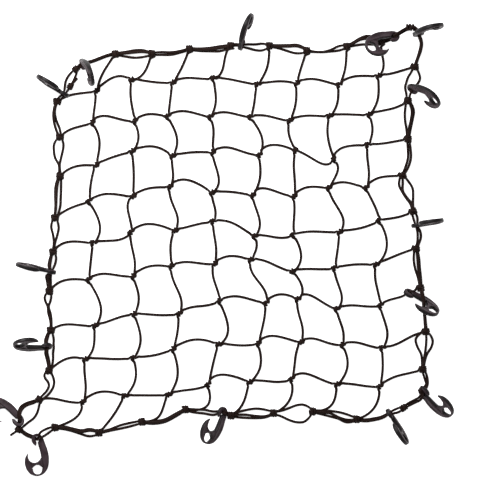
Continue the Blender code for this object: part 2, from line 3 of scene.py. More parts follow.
import bpy
import numpy as np
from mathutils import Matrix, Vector


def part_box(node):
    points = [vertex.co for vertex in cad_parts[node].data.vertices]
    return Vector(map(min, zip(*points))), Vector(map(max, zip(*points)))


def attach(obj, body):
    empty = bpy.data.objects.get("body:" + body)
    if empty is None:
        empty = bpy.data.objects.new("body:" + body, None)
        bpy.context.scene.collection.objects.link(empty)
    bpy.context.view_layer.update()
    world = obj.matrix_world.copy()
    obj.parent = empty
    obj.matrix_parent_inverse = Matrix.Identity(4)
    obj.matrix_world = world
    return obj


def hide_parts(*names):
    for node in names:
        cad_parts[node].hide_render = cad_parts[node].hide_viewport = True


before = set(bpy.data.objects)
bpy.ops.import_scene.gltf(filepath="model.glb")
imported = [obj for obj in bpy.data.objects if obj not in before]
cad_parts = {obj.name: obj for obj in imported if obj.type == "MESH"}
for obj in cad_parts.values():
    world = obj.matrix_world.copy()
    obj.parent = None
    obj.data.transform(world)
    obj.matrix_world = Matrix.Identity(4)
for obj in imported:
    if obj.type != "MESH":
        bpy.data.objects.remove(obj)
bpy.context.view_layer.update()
print("frame loaded")

mm = 0.001  # the shapes below are worked out in millimetres
skyward = np.array([0, 0, 1.0])
rng = np.random.default_rng(7)


# The net as it lies. Lengths are in millimetres, headings in degrees, anticlockwise from the right.

cordSize = {
    "radius": 2.2,
    "inKnot": 1.8,  # drawn tight
    "inEye": 1.7,
    "sides": 10,
    "spanStep": 2.6,  # between the rings of a cord lying on the floor
    "bendStep": 1.2,  # where it climbs into a knot
    "turnStep": 1.0,  # and where it winds in a knot
    "spacing": 5.0,  # between the points that a lying cord is smoothed through
    "unevenness": 0.03,  # of the radius
    "wave": 17.0,  # millimetres of cord to each radian of its swell
    "endReach": (0.85, 0.73, 0.45),  # how far past a cord's end the rings stand that draw it in, in radii
    "endShare": (0.02, 0.55, 0.86),  # and their share of its radius
}

grid = {
    "firstKnot": (-211, 257),
    "stepRight": (66, 3),
    "stepDown": (0, -63),
    "drifts": [  # how far each knot is pulled off the even grid, one row of knots a line
        {"right": (4, -5, -4, -4, 1, -2, 1, -1), "up": (-7, 9, 1, 5, -8, -9, -15, -3)},
        {"right": (-3, 0, -13, -10, -11, -13, -14, -16), "up": (5, 4, 9, 5, 2, -7, -2, -3)},
        {"right": (3, -4, -5, -6, 4, -3, -8, -18), "up": (-1, 19, 8, 11, 3, 7, -10, 11)},
        {"right": (-8, -3, -9, -7, -7, -6, -16, -21), "up": (3, 8, 21, 9, 1, -4, 7, 4)},
        {"right": (-1, -6, -1, -5, -4, -7, 2, 0), "up": (-1, 13, 13, 25, -2, -3, -1, 14)},
        {"right": (-9, -3, -7, -3, -10, -9, -6, -5), "up": (2, 5, 18, 19, 23, 1, 3, 6)},
        {"right": (2, -1, 6, 5, 15, 0, -3, 2), "up": (-9, 7, 4, 22, 15, 19, 0, 2)},
        {"right": (-14, -2, -4, 4, 2, 5, 6, 5), "up": (0, -1, 10, 15, 13, 12, 5, -3)},
        {"right": (-18, -16, -11, -13, -12, -10, -2, 1), "up": (-7, 0, -1, 12, 14, 15, 4, -3)},
    ],
}

# Headings at which a cord leaves each knot and comes to the next, from rail to rail. landing: how
# long the last handle is where a cord comes down to the bottom rail and runs along it.
handle = 0.42  # length of a bow's other handles, as a share of the distance between the knots
bowPoints = 40  # worked out along each bow
acrossBows = [
    {"leave": (34, 49, -5, 30, 0, 10, 28, 45, 5), "arrive": (12, -30, 5, 10, -5, -10, -10, 5, 15)},
    {"leave": (48, 54, 45, 35, 35, 16, 28, 10, 20), "arrive": (24, 3, -10, -10, -5, -5, 5, 5, 37)},
    {"leave": (45, 30, 25, 14, 37, 74, -12, 80, 2), "arrive": (0, 20, -40, 0, -2, -26, 60, 5, 10)},
    {"leave": (40, 40, 40, 52, 5, 64, 55, 40, 56), "arrive": (20, -5, 5, -34, -10, -6, -5, -15, 5)},
    {"leave": (56, 16, 46, 15, 10, 10, 18, 10, 12), "arrive": (-3, 50, -20, 10, -30, 28, 5, 30, 29)},
    {"leave": (55, 40, 45, 29, 45, 5, 15, 15, 24), "arrive": (-4, 5, -5, 5, -15, -10, 10, 0, 18)},
    {
        "leave": (36, 15, 0, 42, 30, 60, 50, 24, 44, 35),
        "arrive": (5, 10, 10, 32, -10, -28, -14, 10, 36, 25),
    },
    {"leave": (44, 5, 5, 37, 0, 53, 36, 24, 5), "arrive": (-15, 10, 25, -20, 15, -10, 6, 0, 10)},
    {"leave": (15, 48, 4, 24, 72, 12, 50, 6, 44), "arrive": (8, -20, 5, 26, -20, 22, -6, 3, 20)},
]
downBows = [
    {
        "leave": (-125, -95, -55, -110, -58, -100, -60, -97, -100, -90),
        "arrive": (-105, -100, -105, -96, -138, -100, -130, -145, -112, -160),
    },
    {
        "leave": (-110, -99, -68, -85, -140, -95, -70, -70, -74, -118),
        "arrive": (-178, -81, -135, -95, -98, -110, -122, -130, -140, -133),
    },
    {
        "leave": (-112, -102, -60, -97, -98, -115, -93, -94, -72, -122),
        "arrive": (-125, -104, -125, -120, -122, -90, -116, -110, -131, -180),
        "landing": 0.62,
    },
    {
        "leave": (-135, -85, -65, -84, -90, -90, -109, -66, -108, -76),
        "arrive": (-165, -125, -90, -150, -120, -106, -88, -155, -105, -188),
        "landing": 0.85,
    },
    {
        "leave": (-90, -106, -54, -85, -82, -62, -104, -95, -74, -105),
        "arrive": (-130, -115, -118, -125, -136, -125, -103, -106, -146, -150),
    },
    {
        "leave": (-110, -90, -103, -105, -84, -56, -44, -97, -120, -76),
        "arrive": (-108, -118, -62, -100, -90, -154, -146, -112, -110, -160),
    },
    {
        "leave": (-95, -95, -105, -34, -80, -95, -90, -80, -60, -96),
        "arrive": (-120, -137, -75, -124, -130, -100, -140, -108, -140, -180),
        "landing": 0.62,
    },
    {
        "leave": (-96, -90, -70, -100, -68, -58, -101, -80, -88, -88),
        "arrive": (-138, -134, -118, -112, -80, -145, -85, -130, -105, -165),
    },
]


class Station(NamedTuple):  # a place on the border, and the way to the next, clockwise
    name: str
    kind: str  # the rails turn sharply at a knot, and the inner cord passes a looseHook by
    right: float
    up: float
    outer: tuple  # how far the cord is off the straight line, at even shares of the way, outwards positive
    inner: tuple
    third: tuple = ()  # a mesh cord that runs along with them to the next knot, where there is one
    sag: float = 0  # how far outwards the cords hang at the station itself


rails = {
    "top": [
        Station("corner_tl", "corner", -239, 285, outer=(2,), inner=(-2,)),
        Station("tl_inside", "hook", -229.8, 294.2, outer=(0, 0.8, 2), inner=(-2, -1.2, 0)),
        Station(
            "down_1", "knot", -176, 310, outer=(3, 5.6, 6),
            inner=(-4.2, -6.3, -5.2), third=(0.5, 2, 3),
        ),
        Station("down_2", "knot", -117, 310, outer=(0.8, -1.4, -1.2), inner=(-3.7, -5.6, -4)),
        Station(
            "down_3", "knot", -56, 318, outer=(-0.6, -0.6, 0.8),
            inner=(-4.6, -6.3, -7.2), third=(-2.6, -3, -2.4),
        ),
        Station("down_4", "knot", 11, 323, outer=(3,), inner=(0.5,)),
        Station("top", "hook", 28, 323, outer=(2.4, 2.2, 3.4), inner=(-4, -7, -7.4)),
        Station("down_5", "knot", 73, 323, outer=(3, 5.2, 7.4), inner=(-2, -4.7, -6.2), third=(1, 2.8, 5)),
        Station("down_6", "knot", 134, 315, outer=(-3, -4.6, -2.6, 2), inner=(-3.5, -5, -5.3, -5.2)),
        Station(
            "down_7", "knot", 199, 322, outer=(5.4, 10.3, 12.6, 9.5),
            inner=(-0.5, -0.2, -1.1, -2.8), third=(3.4, 7.8, 8.2, 5.5),
        ),
        Station("down_8", "knot", 254.6, 329.4, outer=(0.6,), inner=(-3,)),
        Station("tr_inside", "hook", 275.8, 338.8, outer=(1.4,), inner=(-1.4,)),
        Station("corner_tr", "corner", 301, 353.6, outer=(2,), inner=(-2,)),
    ],
    "right": [
        Station("corner_tr", "corner", 301, 353.6, outer=(5.5,), inner=(2.5,)),
        Station(
            "tr_outside", "hook", 313.5, 342, outer=(8.2, 7.6, 4),
            inner=(6.2, 5.4, 2.4), third=(7.3, 6.5, 3.2), sag=1.2,
        ),
        Station("across_1", "knot", 309, 289, outer=(7.6, 11, 8.2), inner=(-4.3, -8.4, -10)),
        Station("right_1", "looseHook", 304, 253.8, outer=(0.5,), inner=(-6.3,)),
        Station(
            "across_2", "knot", 298, 234, outer=(9.2, 7.2, 4),
            inner=(-5, -5, -2.6), third=(6, 4.6, 1.4),
        ),
        Station("across_3", "knot", 298, 172, outer=(6.3, 9.2, 7.4), inner=(1.8, 4.4, 2.8)),
        Station(
            "across_4", "knot", 289, 113, outer=(6.5, 9.7, 7.3, 3.5),
            inner=(-9.7, -8.2, -4.9, -0.8), third=(-3, -6.6, -3.4, 1.4),
        ),
        Station("across_5", "knot", 306, 55, outer=(4.4,), inner=(-2.4,)),
        Station("right_2", "hook", 311.8, 32, outer=(6, 7.5, 5.2), inner=(1.5, 2.1, 1.6)),
        Station(
            "across_6", "knot", 311, -5, outer=(3, 2.4, 2.4),
            inner=(-5.8, -5.3, -2.2), third=(0.4, -0.2, 0),
        ),
        Station("across_7", "knot", 318.3, -69.3, outer=(3.2, 2.2, 1.6), inner=(1.2, 0.6, 0)),
        Station(
            "across_8", "knot", 327, -140, outer=(11.8, 10.7, 4.5, 2),
            inner=(-15.2, -12.5, -5, -2.4), third=(1.6, 1.8, 1.3, 0.3),
        ),
        Station("across_9", "knot", 322, -201, outer=(3.2,), inner=(-1.4,)),
        Station("corner_br", "bend", 329, -225, outer=(2.4,), inner=(-1.5,)),
    ],
    "bottom": [
        Station("corner_br", "bend", 329, -225, outer=(1.8,), inner=(-1.8,)),
        Station("br", "hook", 322.3, -237.5, outer=(7.5, 5.5, 3.3), inner=(2.9, 1.3, -0.8)),
        Station("tie_bottom", "knot", 291, -263, outer=(3.7,), inner=(-2.5,)),
        Station("bottom_right", "hook", 268.2, -272.3, outer=(5.6, 6.6, 5.8), inner=(3, 3.6, 3)),
        Station(
            "down_8", "knot", 214, -282, outer=(7.7, 4.2, 3.1, 2.1),
            inner=(-4.9, -6.3, -5.6, -3.8), third=(3.4, 1.8, -2, -0.8),
        ),
        Station("down_7", "knot", 143, -269, outer=(15.7, 16.7, 12.6, 6), inner=(-10.9, -10.9, -6.7, -3.1)),
        Station(
            "down_6", "knot", 80, -272, outer=(6.2, 6.5, 5.5, 3.9),
            inner=(-6.5, -8.9, -7.9, -5.3), third=(4.2, 3.2, 0.6, -0.6),
        ),
        Station("down_5", "knot", 11, -276, outer=(1.8,), inner=(-1.8,)),
        Station("bottom_middle", "hook", -2, -270, outer=(6, 4.6, 4), inner=(0.4, -1.4, -1)),
        Station(
            "down_4", "knot", -63, -266, outer=(6.9, 10.5, 8.6),
            inner=(2.6, 6.4, 4.5), third=(4.8, 8.4, 6.5),
        ),
        Station("down_3", "knot", -133, -286, outer=(2.6, 2.2, 1.2), inner=(-3, -3.2, -1)),
        Station(
            "down_2", "knot", -203, -304, outer=(7.4, 5.2, 2.3, 0.8),
            inner=(-4.6, -0.8, -2, -3.2), third=(-1.8, 2, 0.6, -1.2),
        ),
        Station("down_1", "knot", -274.2, -295.5, outer=(1.6, 2.4, 2.2), inner=(-4.6, -5.8, -5.4)),
        Station("bl_inside", "hook", -302.5, -313, outer=(3, 4, 3), inner=(0, 0.8, 0), sag=1),
        Station("corner_bl", "corner", -332, -298, outer=(2,), inner=(-2,)),
    ],
    "left": [
        Station("corner_bl", "corner", -332, -298, outer=(2,), inner=(-9,), third=(-2,)),
        Station(
            "bl_outside", "looseHook", -331.7, -285.3, outer=(10.6, 14, 11.9, 6.6),
            inner=(-12, -13.8, -12.4, -8), third=(7, 10, 8, 2.6),
        ),
        Station(
            "across_9", "knot", -299.7, -250.3, outer=(-3.6, -7.6, -6.8, 4.5),
            inner=(-10, -14, -15, -12),
        ),
        Station(
            "across_8", "knot", -284, -204, outer=(0.6, 1.9, 3.4),
            inner=(-6.4, -8.4, -9.2), third=(-2, -1.2, 0.4),
        ),
        Station(
            "left_1", "looseHook", -286.8, -164.3, outer=(5, 5, 4),
            inner=(-9.2, -8.2, -5.4), third=(2, 2, 1.4),
        ),
        Station("across_7", "knot", -281, -138, outer=(-1, -0.6, 1), inner=(-2.4, -3, -2.4)),
        Station("left_twist", "twist", -285, -99, outer=(4.2, 6.8, 6), inner=(-2.3, -3.5, -3.6)),
        Station(
            "across_6", "knot", -283, -75, outer=(3.4, 5.2, 7.2),
            inner=(-1.6, -0.8, 0), third=(0.9, 2.2, 3.6),
        ),
        Station(
            "left_2", "hook", -280.2, -42.8, outer=(5, 4.8, 3.6),
            inner=(-3.8, -5.8, -5.8), third=(2.6, 2.4, 1.6),
        ),
        Station("across_5", "knot", -277, -11, outer=(-0.3, 1.6, 5.4), inner=(-2.2, -5.3, -6.8)),
        Station(
            "across_4", "knot", -274, 44, outer=(1.3, 3.6, 5),
            inner=(-6.2, -5.4, -4), third=(0.4, 1.6, 2.4),
        ),
        Station("across_3", "knot", -266, 112, outer=(0.8,), inner=(-0.8,)),
        Station("left_join", "twist", -267, 130, outer=(7, 9.2, 9.2), inner=(-2.5, -4.9, -6)),
        Station(
            "across_2", "knot", -266, 175, outer=(5.8, 8, 6.8),
            inner=(-0.6, 3.9, 4.8), third=(5.6, 7.6, 5.8),
        ),
        Station("across_1", "knot", -270.6, 232.6, outer=(2.4,), inner=(-2.4,)),
        Station("tl_outside", "hook", -259, 245, outer=(7.4,), inner=(-4,)),
        Station("corner_tl", "corner", -239, 285, outer=(2,), inner=(-2,)),
    ],
}
railFit = {
    # between the centres of the outer and inner cords at each kind of station
    "spacing": {"knot": 3.6, "corner": 3.6, "hook": 2.8, "looseHook": 2.8, "twist": 1.2, "bend": 1.8},
    "aside": 11.0,  # how far the inner cord passes from a loose hook
    "core": 6.0,  # height of the two cords in a border knot
    "roundCore": 7.4,  # height of the middle of the three cords that the knot is tied on
    "climb": 10.0,  # how far from a knot the rails rise to it
    "pinch": 6.0,  # and from a hook's eye they are thinned by it
    "parts": 15,  # points worked out from one share of the way to the next
}


# Curves


def heading(degrees):  # the unit vector on the floor at this angle
    angle = np.radians(degrees)
    return np.array([np.cos(angle), np.sin(angle)])


def leftOf(direction):  # on the floor
    return np.array([-direction[1], direction[0]])


def bell(distance, width, power=2):  # e^-(distance/width)^power
    return np.exp(-((distance / width) ** power))


def bezier(start, first, second, end, steps):
    # A cubic: its four handles weighted by (1-t)^3, 3t(1-t)^2, 3t^2(1-t) and t^3
    t = np.linspace(0, 1, steps)[:, None]
    return start * (1 - t) ** 3 + first * 3 * t * (1 - t) ** 2 + second * 3 * t**2 * (1 - t) + end * t**3


def unit(vectors):
    return vectors / np.linalg.norm(vectors, axis=-1, keepdims=True)


def marksOf(points):  # the distance along a chain of points
    return np.concatenate([[0], np.cumsum(np.linalg.norm(np.diff(points, axis=0), axis=1))])


def readAt(marks, values, wanted):  # each column read off between the marks
    return np.stack([np.interp(wanted, marks, column) for column in values.T], -1)


def smoothThrough(points, values, steps):
    # Between two points the curve is a cubic whose slopes there are the slopes of the two
    # neighbouring chords, each weighted by the other chord's length. Values go in a straight line.
    chord = np.diff(points, axis=0)
    length = np.linalg.norm(chord, axis=1)[:, None]
    slope = chord / length
    inner = (slope[:-1] * length[1:] + slope[1:] * length[:-1]) / (length[:-1] + length[1:])
    slopes = np.concatenate([slope[:1], inner, slope[-1:]])
    count = np.maximum(np.round(length[:, 0] / steps), 1).astype(int)
    near = np.repeat(np.arange(len(count)), count)
    far = near + 1
    offset = np.concatenate([[0], np.cumsum(count)[:-1]])
    t = ((np.arange(count.sum()) - offset[near]) / count[near])[:, None]
    curve = (
        points[near] * (2 * t**3 - 3 * t**2 + 1)
        + slopes[near] * length[near] * (t**3 - 2 * t**2 + t)
        + points[far] * (3 * t**2 - 2 * t**3)
        + slopes[far] * length[near] * (t**3 - t**2)
    )
    read = values[near] * (1 - t) + values[far] * t
    return np.concatenate([curve, points[-1:]]), np.concatenate([read, values[-1:]])


# Meshes


def skin(points, marks, sides):
    # points are rings of this many sides, and marks say how far along each ring is. A quad joins two
    # neighbours to the two beyond them, a flat face closes either end, and the UVs are the length
    # along and the share of a turn.
    ring, turn = np.meshgrid(np.arange(len(marks) - 1), np.arange(sides), indexing="ij")
    corners = ((ring, turn), (ring, turn + 1), (ring + 1, turn + 1), (ring + 1, turn))
    quads = np.stack([r * sides + t % sides for r, t in corners], -1).reshape(-1, 4)
    uvs = np.stack([np.stack([marks[r], t / sides], -1) for r, t in corners], -2).reshape(-1, 2)
    ends = np.stack([np.arange(sides)[::-1], (len(marks) - 1) * sides + np.arange(sides)])
    return points.reshape(-1, 3), quads, ends, np.concatenate([uvs, np.zeros((2 * sides, 2))])


def cordSkin(path, radius, upward):
    # Ring i stands square to the path: centre + radius * (cos a * side + sin a * upright), where
    # upright is the wanted upward direction less its share along the path. The ends are drawn in.
    reach, share = np.array(cordSize["endReach"]), np.array(cordSize["endShare"])
    head = path[0] + unit(path[0] - path[1]) * (radius[0] * reach)[:, None]
    tail = path[-1] + unit(path[-1] - path[-2]) * (radius[-1] * reach[::-1])[:, None]
    path = np.concatenate([head, path, tail])
    radius = np.concatenate([radius[0] * share, radius, radius[-1] * share[::-1]])[:, None, None]
    upward = np.concatenate([upward[:1].repeat(len(head), 0), upward, upward[-1:].repeat(len(tail), 0)])
    along = unit(np.gradient(path, axis=0))
    upright = unit(upward - (upward * along).sum(1, keepdims=True) * along)
    side = np.cross(along, upright)
    angle = np.linspace(0, 2 * np.pi, cordSize["sides"], endpoint=False)[None, :, None]
    outward = np.cos(angle) * side[:, None] + np.sin(angle) * upright[:, None]
    return skin(path[:, None] + radius * outward, marksOf(path), cordSize["sides"])


def addPiece(name, skins, material, node):  # one mesh from its skins, in place of a node
    mesh = bpy.data.meshes.new(name)
    faces, first = [], 0
    for points, quads, ends, _ in skins:
        faces += [*map(tuple, quads + first), *map(tuple, ends + first)]
        first += len(points)
    mesh.from_pydata(np.concatenate([points for points, *_ in skins]) * mm, [], faces)
    layer = mesh.uv_layers.new(name="lengthAndTurn")
    layer.uv.foreach_set("vector", np.concatenate([uvs for *_, uvs in skins]).astype(np.float32).ravel())
    mesh.polygons.foreach_set("use_smooth", np.ones(len(mesh.polygons), bool))
    mesh.update()
    mesh.materials.append(material)
    piece = bpy.data.objects.new(name, mesh)
    bpy.context.scene.collection.objects.link(piece)
    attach(piece, "root")
    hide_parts(node)


# Knots

knotShape = {
    "core": 5.0,  # height of the cord that the knot is tied on
    "through": 4.0,  # how far to either side of the middle that cord runs straight
    "reach": 8.5,  # from the knot's middle to where the cords come free of it
    "apart": 1.2,  # how far aside of the knot's axis each of the two cords stands there
    "merge": 11.0,  # over what distance from the knot the two draw together
    "slope": 9.0,  # and over what distance they come down to the floor
    "climb": 20.0,  # a cord this near to a knot is bending, and has closer rings
    # at each of these quarter turns: where the cord is along the core, and how far from its centre
    "turns": {
        "quarter": (0, 1, 2, 3, 4, 5, 6, 7, 8, 9, 10),
        "along": (-3.2, -1.75, -1.9, -2.6, -3.7, 0, 3.7, 2.6, 1.9, 1.75, 3.2),
        "off": (3.2, 3.1, 3.1, 3.1, 3.5, 5.7, 3.5, 3.1, 3.1, 3.1, 3.2),
    },
    # the same for the knots on the border: once slantwise over the top, then a coil under it
    "border": {
        "quarter": (0, 1, 2, 4, 8, 12, 15),
        "along": (4.2, 0.4, -4.3, -4.2, -1.1, 2.3, 4.6),
        "off": (4.7, 7.9, 4.7, 4.3, 5.2, 5.0, 4.2),
    },
    "tilt": 35,  # how far a knot may lie over to either side
    "borderTilt": 20,
    "perQuarter": 2,  # points worked out in each quarter turn
    "tuck": 0.67,  # how far an end that is tucked in comes in, as a share of its distance
}


def knotTurns(middle, along, turns, tilt, tucked, stretch=1.0, girth=1.0):
    # The cord that is tied round the core. At quarter turn q it stands at
    # middle + stretch * a(q) * along + girth * off(q) * (cos(90 q) * side + sin(90 q) * up). An end
    # that is tucked in comes in over its last quarter turn.
    first, last = turns["quarter"][0], turns["quarter"][-1]
    quarter = np.linspace(first, last, (last - first) * knotShape["perQuarter"] + 1)
    move = stretch * np.interp(quarter, turns["quarter"], turns["along"])
    off = girth * np.interp(quarter, turns["quarter"], turns["off"])
    if "end" in tucked:
        off *= 1 - knotShape["tuck"] * np.clip(quarter - last + 1, 0, 1)
    if "start" in tucked:
        off *= 1 - knotShape["tuck"] * np.clip(first + 1 - quarter, 0, 1)
    side = np.array([*leftOf(along), 0])
    lean = np.radians(tilt)
    sideways = side * np.cos(lean) + skyward * np.sin(lean)
    upright = skyward * np.cos(lean) - side * np.sin(lean)
    angle = quarter[:, None] * np.pi / 2
    outward = np.cos(angle) * sideways + np.sin(angle) * upright
    return middle + move[:, None] * np.array([*along, 0]) + off[:, None] * outward, outward


# Cords across and down


def stationPlace(side, name):
    return next(np.array([row.right, row.up], float) for row in rails[side] if row.name == name)


rowOf, columnOf = np.meshgrid(np.arange(len(acrossBows)), np.arange(len(downBows)), indexing="ij")
drifts = np.array([[row["right"], row["up"]] for row in grid["drifts"]], float).transpose(0, 2, 1)
evenGrid = rowOf[..., None] * grid["stepDown"] + columnOf[..., None] * grid["stepRight"]
knots = grid["firstKnot"] + evenGrid + drifts
tilts = rng.uniform(-1, 1, knots.shape[:2]) * knotShape["tilt"]
acrossCount, downCount = len(acrossBows), len(downBows)
borderTilts = rng.uniform(-1, 1, 2 * (acrossCount + downCount)) * knotShape["borderTilt"]
borderTilts = np.split(borderTilts, np.cumsum([acrossCount, acrossCount, downCount]))
borderTilts = dict(zip(("left", "right", "top", "bottom"), borderTilts))


def spanBetween(start, end, leave, arrive, landing=handle):  # a bow, with its two handles
    reach = np.linalg.norm(end - start)
    first, second = start + heading(leave) * reach * handle, end - heading(arrive) * reach * landing
    return bezier(start, first, second, end, bowPoints)


def knotAxis(row, column):
    # A knot lies along the line that its four cords leave by: up and right at one end
    across, down = acrossBows[row], downBows[column]
    return unit(
        heading(across["leave"][column + 1]) - heading(down["arrive"][row])
        + heading(across["arrive"][column]) - heading(down["leave"][row + 1])
    )


def partOf(points, radius, upward, step):
    # A stretch of cord: each row is a point, the radius, the upward direction and the step to the
    # next ring there
    count = len(points)
    upward = np.broadcast_to(upward, (count, 3))
    return np.column_stack([points, np.full(count, radius), upward, np.full(count, step)])


def runFrom(parts):  # joins the parts and samples a smooth cord through their points
    rows = np.concatenate(parts)
    steps = np.minimum(rows[:-1, 7], rows[1:, 7])
    curve, read = smoothThrough(rows[:, :3], rows[:, 3:7], steps)
    swell = np.sin(marksOf(curve) / cordSize["wave"] + rows[0, 0])
    return curve, read[:, 0] * (1 + cordSize["unevenness"] * swell), read[:, 1:]


def lyingPart(span, before, after, rises, asides):
    # The stretch of a span that is clear of its two ends. At the distance d from an end it is moved
    # by aside * e^-(d/merge)^2 and lifted by rise * e^-(d/slope)^2.
    marks = marksOf(span)
    length, spacing = marks[-1], cordSize["spacing"]
    near = np.append(np.arange(before, length - after - spacing / 2, spacing), length - after)
    plan, height = readAt(marks, span, near), cordSize["radius"]
    for distance, rise, aside in zip((near, length - near), rises, asides):
        plan = plan + bell(distance, knotShape["merge"])[:, None] * aside
        height = height + rise * bell(distance, knotShape["slope"])
    bending = np.minimum(near, length - near) < knotShape["climb"]
    steps = np.where(bending, cordSize["bendStep"], cordSize["spanStep"])
    return partOf(np.column_stack([plan, height]), cordSize["radius"], skyward, steps)


def turnsPart(points, outward):  # the cord's upward direction is away from the core
    return partOf(points, cordSize["inKnot"], outward, cordSize["turnStep"])


def knotRound(row, column):  # the cord across winds round the cord down
    middle = np.array([*knots[row, column], knotShape["core"]])
    return turnsPart(*knotTurns(middle, knotAxis(row, column), knotShape["turns"], tilts[row, column], ()))


def knotThrough(row, column):  # the cord down runs straight through
    share = np.array([1, 0, -1])[:, None] * knotShape["through"]
    plan = knots[row, column] + share * knotAxis(row, column)
    core = np.column_stack([plan, np.full(3, knotShape["core"])])
    return partOf(core, cordSize["inKnot"], skyward, cordSize["spanStep"])


def borderKnot(side, name, travel, tilt):
    # The cord comes to the rails from inside the net, and winds from the end that it meets first.
    # The turns start on the left of their axis, so they are mirrored where the inside is on the right.
    rows = rails[side]
    index = next(i for i, row in enumerate(rows) if row.name == name)
    before, after = rows[index - 1], rows[index + 1]
    along = unit(np.array([after.right - before.right, after.up - before.up], float))
    ahead = along @ travel >= 0
    axis = along if ahead else -along
    middle = np.array([*stationPlace(side, name), railFit["roundCore"]])
    points, outward = knotTurns(middle, axis, knotShape["border"], tilt, ("end",))
    if ahead:
        across = np.array([*leftOf(axis), 0])
        points = points - 2 * ((points - middle) @ across)[:, None] * across
        outward = outward - 2 * (outward @ across)[:, None] * across
    return turnsPart(points, outward)


rise = knotShape["core"] - cordSize["radius"]
borderRise = railFit["roundCore"] - cordSize["radius"]
meshCords = {
    "across": {"piece": "crossCord", "sides": ("left", "right"), "bows": acrossBows, "knot": knotRound},
    "down": {"piece": "lengthCord", "sides": ("top", "bottom"), "bows": downBows, "knot": knotThrough},
}


class Stop(NamedTuple):  # what a mesh cord comes to on its way
    place: np.ndarray
    part: np.ndarray  # the cord there
    rise: float  # how high off the floor it is
    aside: np.ndarray = np.zeros(2)  # how far off the place it comes in, and the other way goes out
    before: float = knotShape["reach"]  # from where the bow before it ends to the place
    after: float = knotShape["reach"]  # and from there to where the next bow starts


def meshRun(way, number):  # a cord from one side's rails to the other's, stop by stop
    name, (firstSide, lastSide) = f"{way}_{number + 1}", meshCords[way]["sides"]
    bows = meshCords[way]["bows"][number]
    if way == "across":
        line = [(number, column) for column in range(downCount)]
    else:
        line = [(row, number) for row in range(acrossCount)]
    start = borderKnot(firstSide, name, -heading(bows["leave"][0]), borderTilts[firstSide][number])
    stops = [Stop(stationPlace(firstSide, name), start[::-1], borderRise)]
    for spot in line:
        aside = -leftOf(knotAxis(*spot)) * knotShape["apart"]
        stops.append(Stop(knots[spot], meshCords[way]["knot"](*spot), rise, aside))
    if name == strandHook["strand"]:
        eye = hookEyes[strandHook["name"]]
        part = partOf(eye[None], cordSize["inEye"], skyward, cordSize["spanStep"])
        before, after = strandHook["before"], strandHook["after"]
        stops.append(Stop(eye[:2], part, rise=0, before=before, after=after))
    end = borderKnot(lastSide, name, heading(bows["arrive"][-1]), borderTilts[lastSide][number])
    stops.append(Stop(stationPlace(lastSide, name), end, borderRise))
    parts = [stops[0].part]
    for i, (here, there) in enumerate(zip(stops, stops[1:])):
        landing = bows.get("landing", handle) if there is stops[-1] else handle
        span = spanBetween(here.place, there.place, bows["leave"][i], bows["arrive"][i], landing)
        rises, asides = (here.rise, there.rise), (-here.aside, there.aside)
        parts += [lyingPart(span, here.after, there.before, rises, asides), there.part]
    return runFrom(parts)


# Hooks


class Ring(NamedTuple):  # of the band that a hook is made of
    outer: tuple
    inner: tuple
    thick: float


class Hook(NamedTuple):
    name: str
    heading: float  # of the shank, away from the eye
    pitch: float  # of the shank above the floor
    roll: float  # about the shank
    beak: int  # 1 where the beak is on the right of the shank before it is rolled, -1 on the left


hookShape = {
    "sides": 28,
    "step": 1.4,  # between the rings
    "corner": 3.4,  # how square the section is: 2 is an oval
    "rim": 0.62,  # half width of the sunk web, as a share of the band's
    "rimSlope": 0.16,  # the share over which it comes down
    "sunk": 0.9,  # depth of the web
    "plainWidth": 8.0,  # a band up to this wide has no web
    "webWidth": 12.0,  # and from this wide on the web is at its depth
    # edge points up the hook from its eye, shank along +Y and beak towards +X, with the thickness
    "back": [
        Ring((3.6, 11.8), (2.0, 11.5), 2.6),
        Ring((7.3, 9.0), (1.2, 7.2), 5.4),
        Ring((9.3, 4.3), (2.8, 2.4), 6.6),
        Ring((9.1, -1.6), (3.1, -0.6), 6.8),
        Ring((6.2, -6.4), (2.0, -2.3), 6.8),
        Ring((0.6, -8.2), (0.2, -3.0), 6.8),
        Ring((-5.1, -6.5), (-1.8, -2.4), 6.8),
        Ring((-8.7, -2.0), (-3.0, -0.4), 6.8),
        Ring((-11.0, 3.6), (-2.7, 2.9), 7.0),
        Ring((-13.0, 9.0), (-0.8, 6.4), 7.2),
        Ring((-15.9, 16.0), (-2.5, 15.3), 8.0),
        Ring((-18.1, 24.5), (-4.9, 24.0), 9.2),
        Ring((-18.9, 32.5), (-6.3, 32.0), 9.6),
        Ring((-18.7, 40.5), (-7.8, 41.0), 9.2),
        Ring((-16.4, 49.8), (-7.9, 49.6), 8.2),
        Ring((-9.5, 58.0), (-5.6, 55.9), 6.8),
        Ring((0.4, 61.4), (-0.3, 58.0), 6.0),
        Ring((10.6, 58.4), (5.1, 55.7), 6.4),
        Ring((17.8, 50.3), (7.3, 50.0), 7.4),
        Ring((20.6, 41.8), (9.6, 43.0), 8.2),
        Ring((20.6, 35.4), (12.9, 36.0), 7.8),
        Ring((19.6, 31.0), (15.0, 31.2), 6.8),
        Ring((17.8, 27.2), (15.2, 27.2), 5.2),
        Ring((15.6, 23.8), (14.8, 24.2), 3.0),
    ],
    "bridge": [  # joins the shank to the beak between the throat and the hole
        Ring((-8.0, 29.5), (-11.0, 43.0), 8.0),
        Ring((-5.6, 31.6), (-9.0, 48.0), 8.0),
        Ring((-4.3, 34.2), (-6.3, 46.0), 8.0),
        Ring((-0.6, 38.0), (-2.8, 43.3), 7.8),
        Ring((3.9, 39.5), (1.7, 43.2), 7.6),
        Ring((8.4, 38.9), (5.4, 45.5), 7.4),
        Ring((12.0, 36.6), (8.6, 49.0), 7.2),
        Ring((15.0, 34.0), (12.6, 49.0), 7.0),
    ],
}

